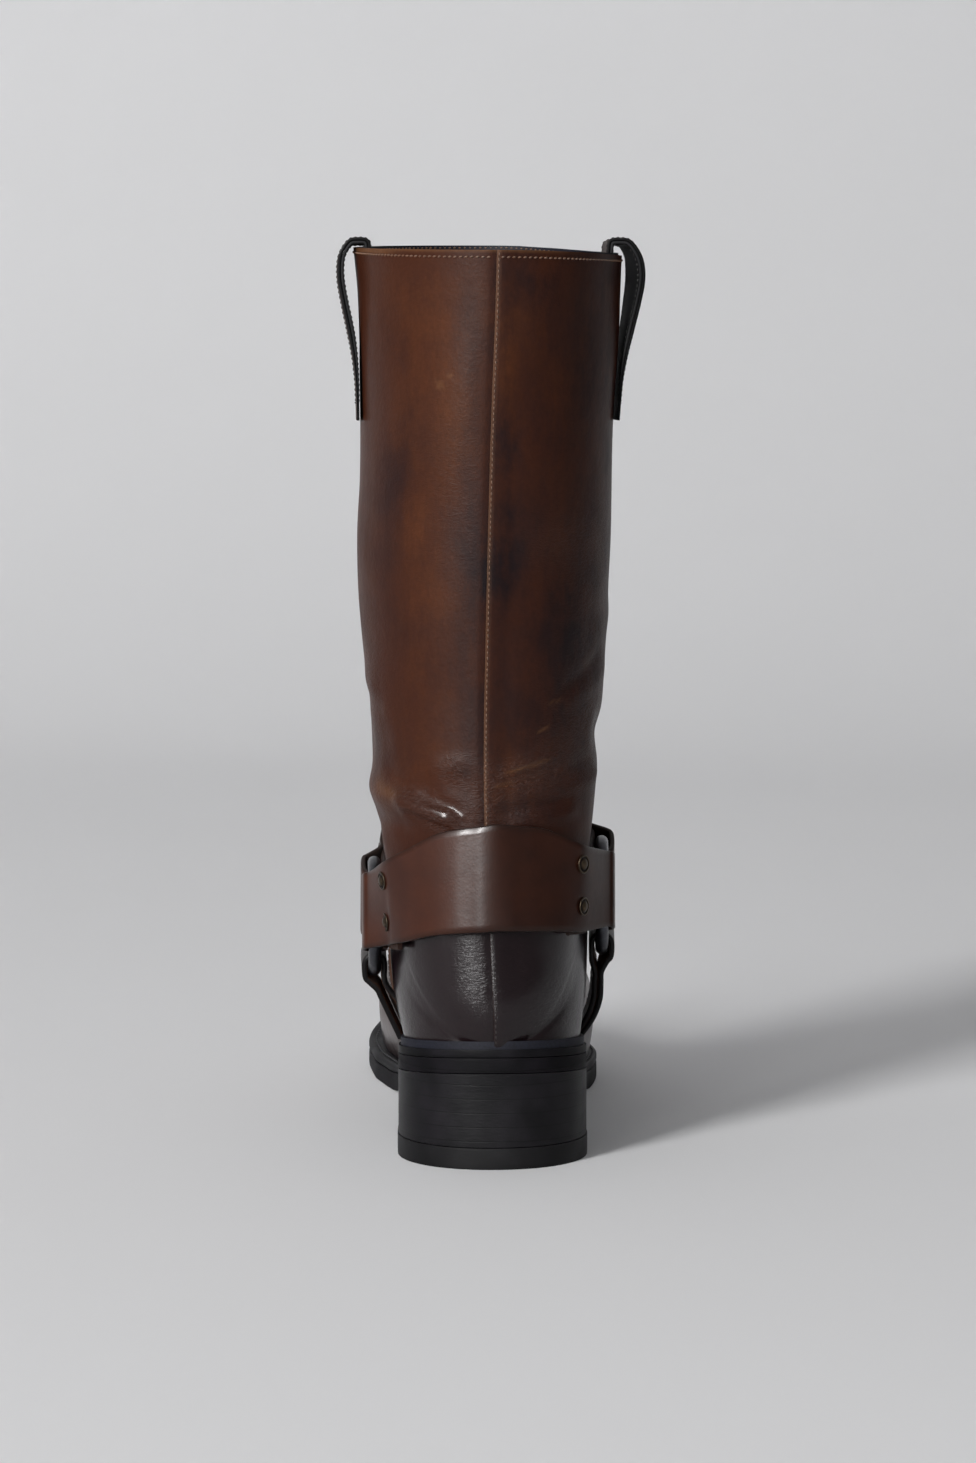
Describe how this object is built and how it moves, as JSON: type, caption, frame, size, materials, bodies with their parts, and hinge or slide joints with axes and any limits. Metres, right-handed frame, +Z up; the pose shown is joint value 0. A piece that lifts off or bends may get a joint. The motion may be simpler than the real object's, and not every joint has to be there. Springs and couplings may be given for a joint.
{
  "type": "harness boot",
  "caption": "Tall pull-on harness boot for the right foot: straps round the heel and instep joined by a ring on each side, block heel, welted sole, pull loops.",
  "frame": {"origin": "on the floor under the centre of the heel, the middle of the top lift's round", "axes": "+Z up the shaft, +Y towards the toe, +X towards the lateral side, so the medial side is at -X"},
  "size_m": [0.1179, 0.2885, 0.3456],
  "materials": {
    "upper_leather": "brown pull-up leather, hand burnished, waxed",
    "strap_leather": "smooth reddish brown bridle leather",
    "loop_leather": "brown leather outside, black inside",
    "lining": "black lining leather",
    "outsole": "black dyed and waxed edge",
    "welt": "black dyed welt with stitching",
    "heel_stack": "black stacked leather, waxed",
    "top_lift": "black rubber",
    "ring_metal": "gunmetal plated",
    "rivet_brass": "antique brass"
  },
  "bodies": {
    "root": {"top_lift": "top_lift", "heel_block": "heel_stack", "outsole": "outsole", "welt": "welt", "insole": "lining", "upper": "upper_leather", "heel_strap": "strap_leather", "instep_strap": "strap_leather", "arch_strap_medial": "strap_leather", "arch_strap_lateral": "strap_leather", "ring_medial": "ring_metal", "ring_lateral": "ring_metal", "pull_loop_medial": "loop_leather", "pull_loop_lateral": "loop_leather", "rivet_heel_1": "rivet_brass", "rivet_heel_2": "rivet_brass", "rivet_heel_3": "rivet_brass", "rivet_heel_4": "rivet_brass", "rivet_instep_1": "rivet_brass", "rivet_instep_2": "rivet_brass", "rivet_instep_3": "rivet_brass", "rivet_instep_4": "rivet_brass"}
  },
  "joints": []
}
